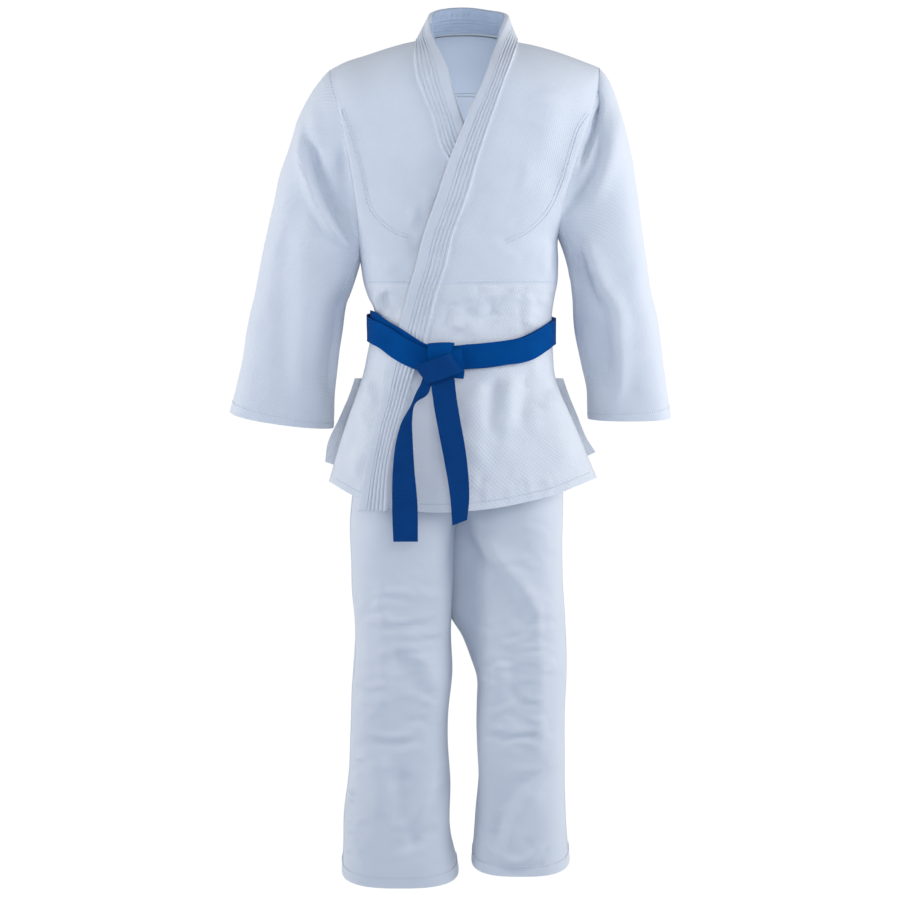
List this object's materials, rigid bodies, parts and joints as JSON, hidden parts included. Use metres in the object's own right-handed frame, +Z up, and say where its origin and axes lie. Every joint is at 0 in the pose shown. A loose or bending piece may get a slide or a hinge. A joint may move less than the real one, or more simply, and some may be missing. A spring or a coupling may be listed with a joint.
{
  "type": "martial arts uniform",
  "caption": "Martial arts uniform as worn: wrapped jacket with stitched lapels and quilted skirt, tied ribbed belt, and straight trousers with doubled knees.",
  "frame": {"origin": "middle of the neck opening, at the height where the collar leaves the shoulders", "axes": "+X towards the wearer's left, -Y to the wearer's front, +Z up"},
  "size_m": [0.752, 0.2959, 1.484],
  "materials": {
    "belt_cotton": "tightly ribbed by rows of stitching",
    "quilted_cotton": "diamond quilting",
    "lapel_cotton": "stuffed band with rows of stitching",
    "tape_cotton": "flat woven tape",
    "lining_cotton": "plain weave",
    "trouser_cotton": "drill weave",
    "woven_cotton": "rice-grain weave"
  },
  "bodies": {
    "torso": {"jacket_back": "woven_cotton", "jacket_front_left": "woven_cotton", "jacket_front_right": "woven_cotton", "yoke_lining_back": "lining_cotton", "yoke_lining_left": "lining_cotton", "yoke_lining_right": "lining_cotton", "back_centre_strip": "lining_cotton", "collar_band": "lapel_cotton", "lapel_left": "lapel_cotton", "lapel_right": "lapel_cotton", "skirt_front_left": "quilted_cotton", "skirt_front_right": "quilted_cotton", "skirt_back_yoke": "quilted_cotton", "belt_inner_wrap": "belt_cotton", "belt_outer_wrap": "belt_cotton", "belt_knot_back": "belt_cotton", "belt_knot_loop": "belt_cotton", "belt_knot_front": "belt_cotton", "waistband": "trouser_cotton", "drawstring": "tape_cotton", "drawstring_loops": "tape_cotton", "trouser_seat": "trouser_cotton", "crotch_gusset": "trouser_cotton"},
    "sleeve_left": {"sleeve_left": "woven_cotton", "cuff_hem_left": "woven_cotton", "armpit_gusset_left": "woven_cotton"},
    "sleeve_right": {"sleeve_right": "woven_cotton", "cuff_hem_right": "woven_cotton", "armpit_gusset_right": "woven_cotton"},
    "leg_left": {"leg_left": "trouser_cotton", "knee_patch_left": "trouser_cotton", "leg_hem_left": "trouser_cotton"},
    "leg_right": {"leg_right": "trouser_cotton", "knee_patch_right": "trouser_cotton", "leg_hem_right": "trouser_cotton"},
    "tail_left": {"belt_tail_left": "belt_cotton"},
    "tail_right": {"belt_tail_right": "belt_cotton"},
    "back_flap": {"skirt_back_flap": "quilted_cotton"}
  },
  "joints": [
    {"name": "sleeve_left_lift", "type": "hinge", "parent": "torso", "child": "sleeve_left", "pos_m": [0.233, 0, -0.058], "axis": [0, -1, 0], "range_deg": [0, 55]},
    {"name": "sleeve_right_lift", "type": "hinge", "parent": "torso", "child": "sleeve_right", "pos_m": [-0.22, 0, -0.056], "axis": [0, 1, 0], "range_deg": [0, 55]},
    {"name": "leg_left_swing", "type": "hinge", "parent": "torso", "child": "leg_left", "pos_m": [0.097, 0, -0.797], "axis": [-1, 0, 0], "range_deg": [-18, 18]},
    {"name": "leg_right_swing", "type": "hinge", "parent": "torso", "child": "leg_right", "pos_m": [-0.096, 0, -0.797], "axis": [-1, 0, 0], "range_deg": [-18, 18]},
    {"name": "tail_left_swing", "type": "hinge", "parent": "torso", "child": "tail_left", "pos_m": [-0.02, -0.14, -0.576], "axis": [-1, 0, 0], "range_deg": [0, 75]},
    {"name": "tail_right_swing", "type": "hinge", "parent": "torso", "child": "tail_right", "pos_m": [-0.055, -0.14, -0.576], "axis": [-1, 0, 0], "range_deg": [0, 75]},
    {"name": "back_flap_lift", "type": "hinge", "parent": "torso", "child": "back_flap", "pos_m": [0.008, 0.1225, -0.5788], "axis": [1, 0, 0], "range_deg": [0, 40]}
  ]
}
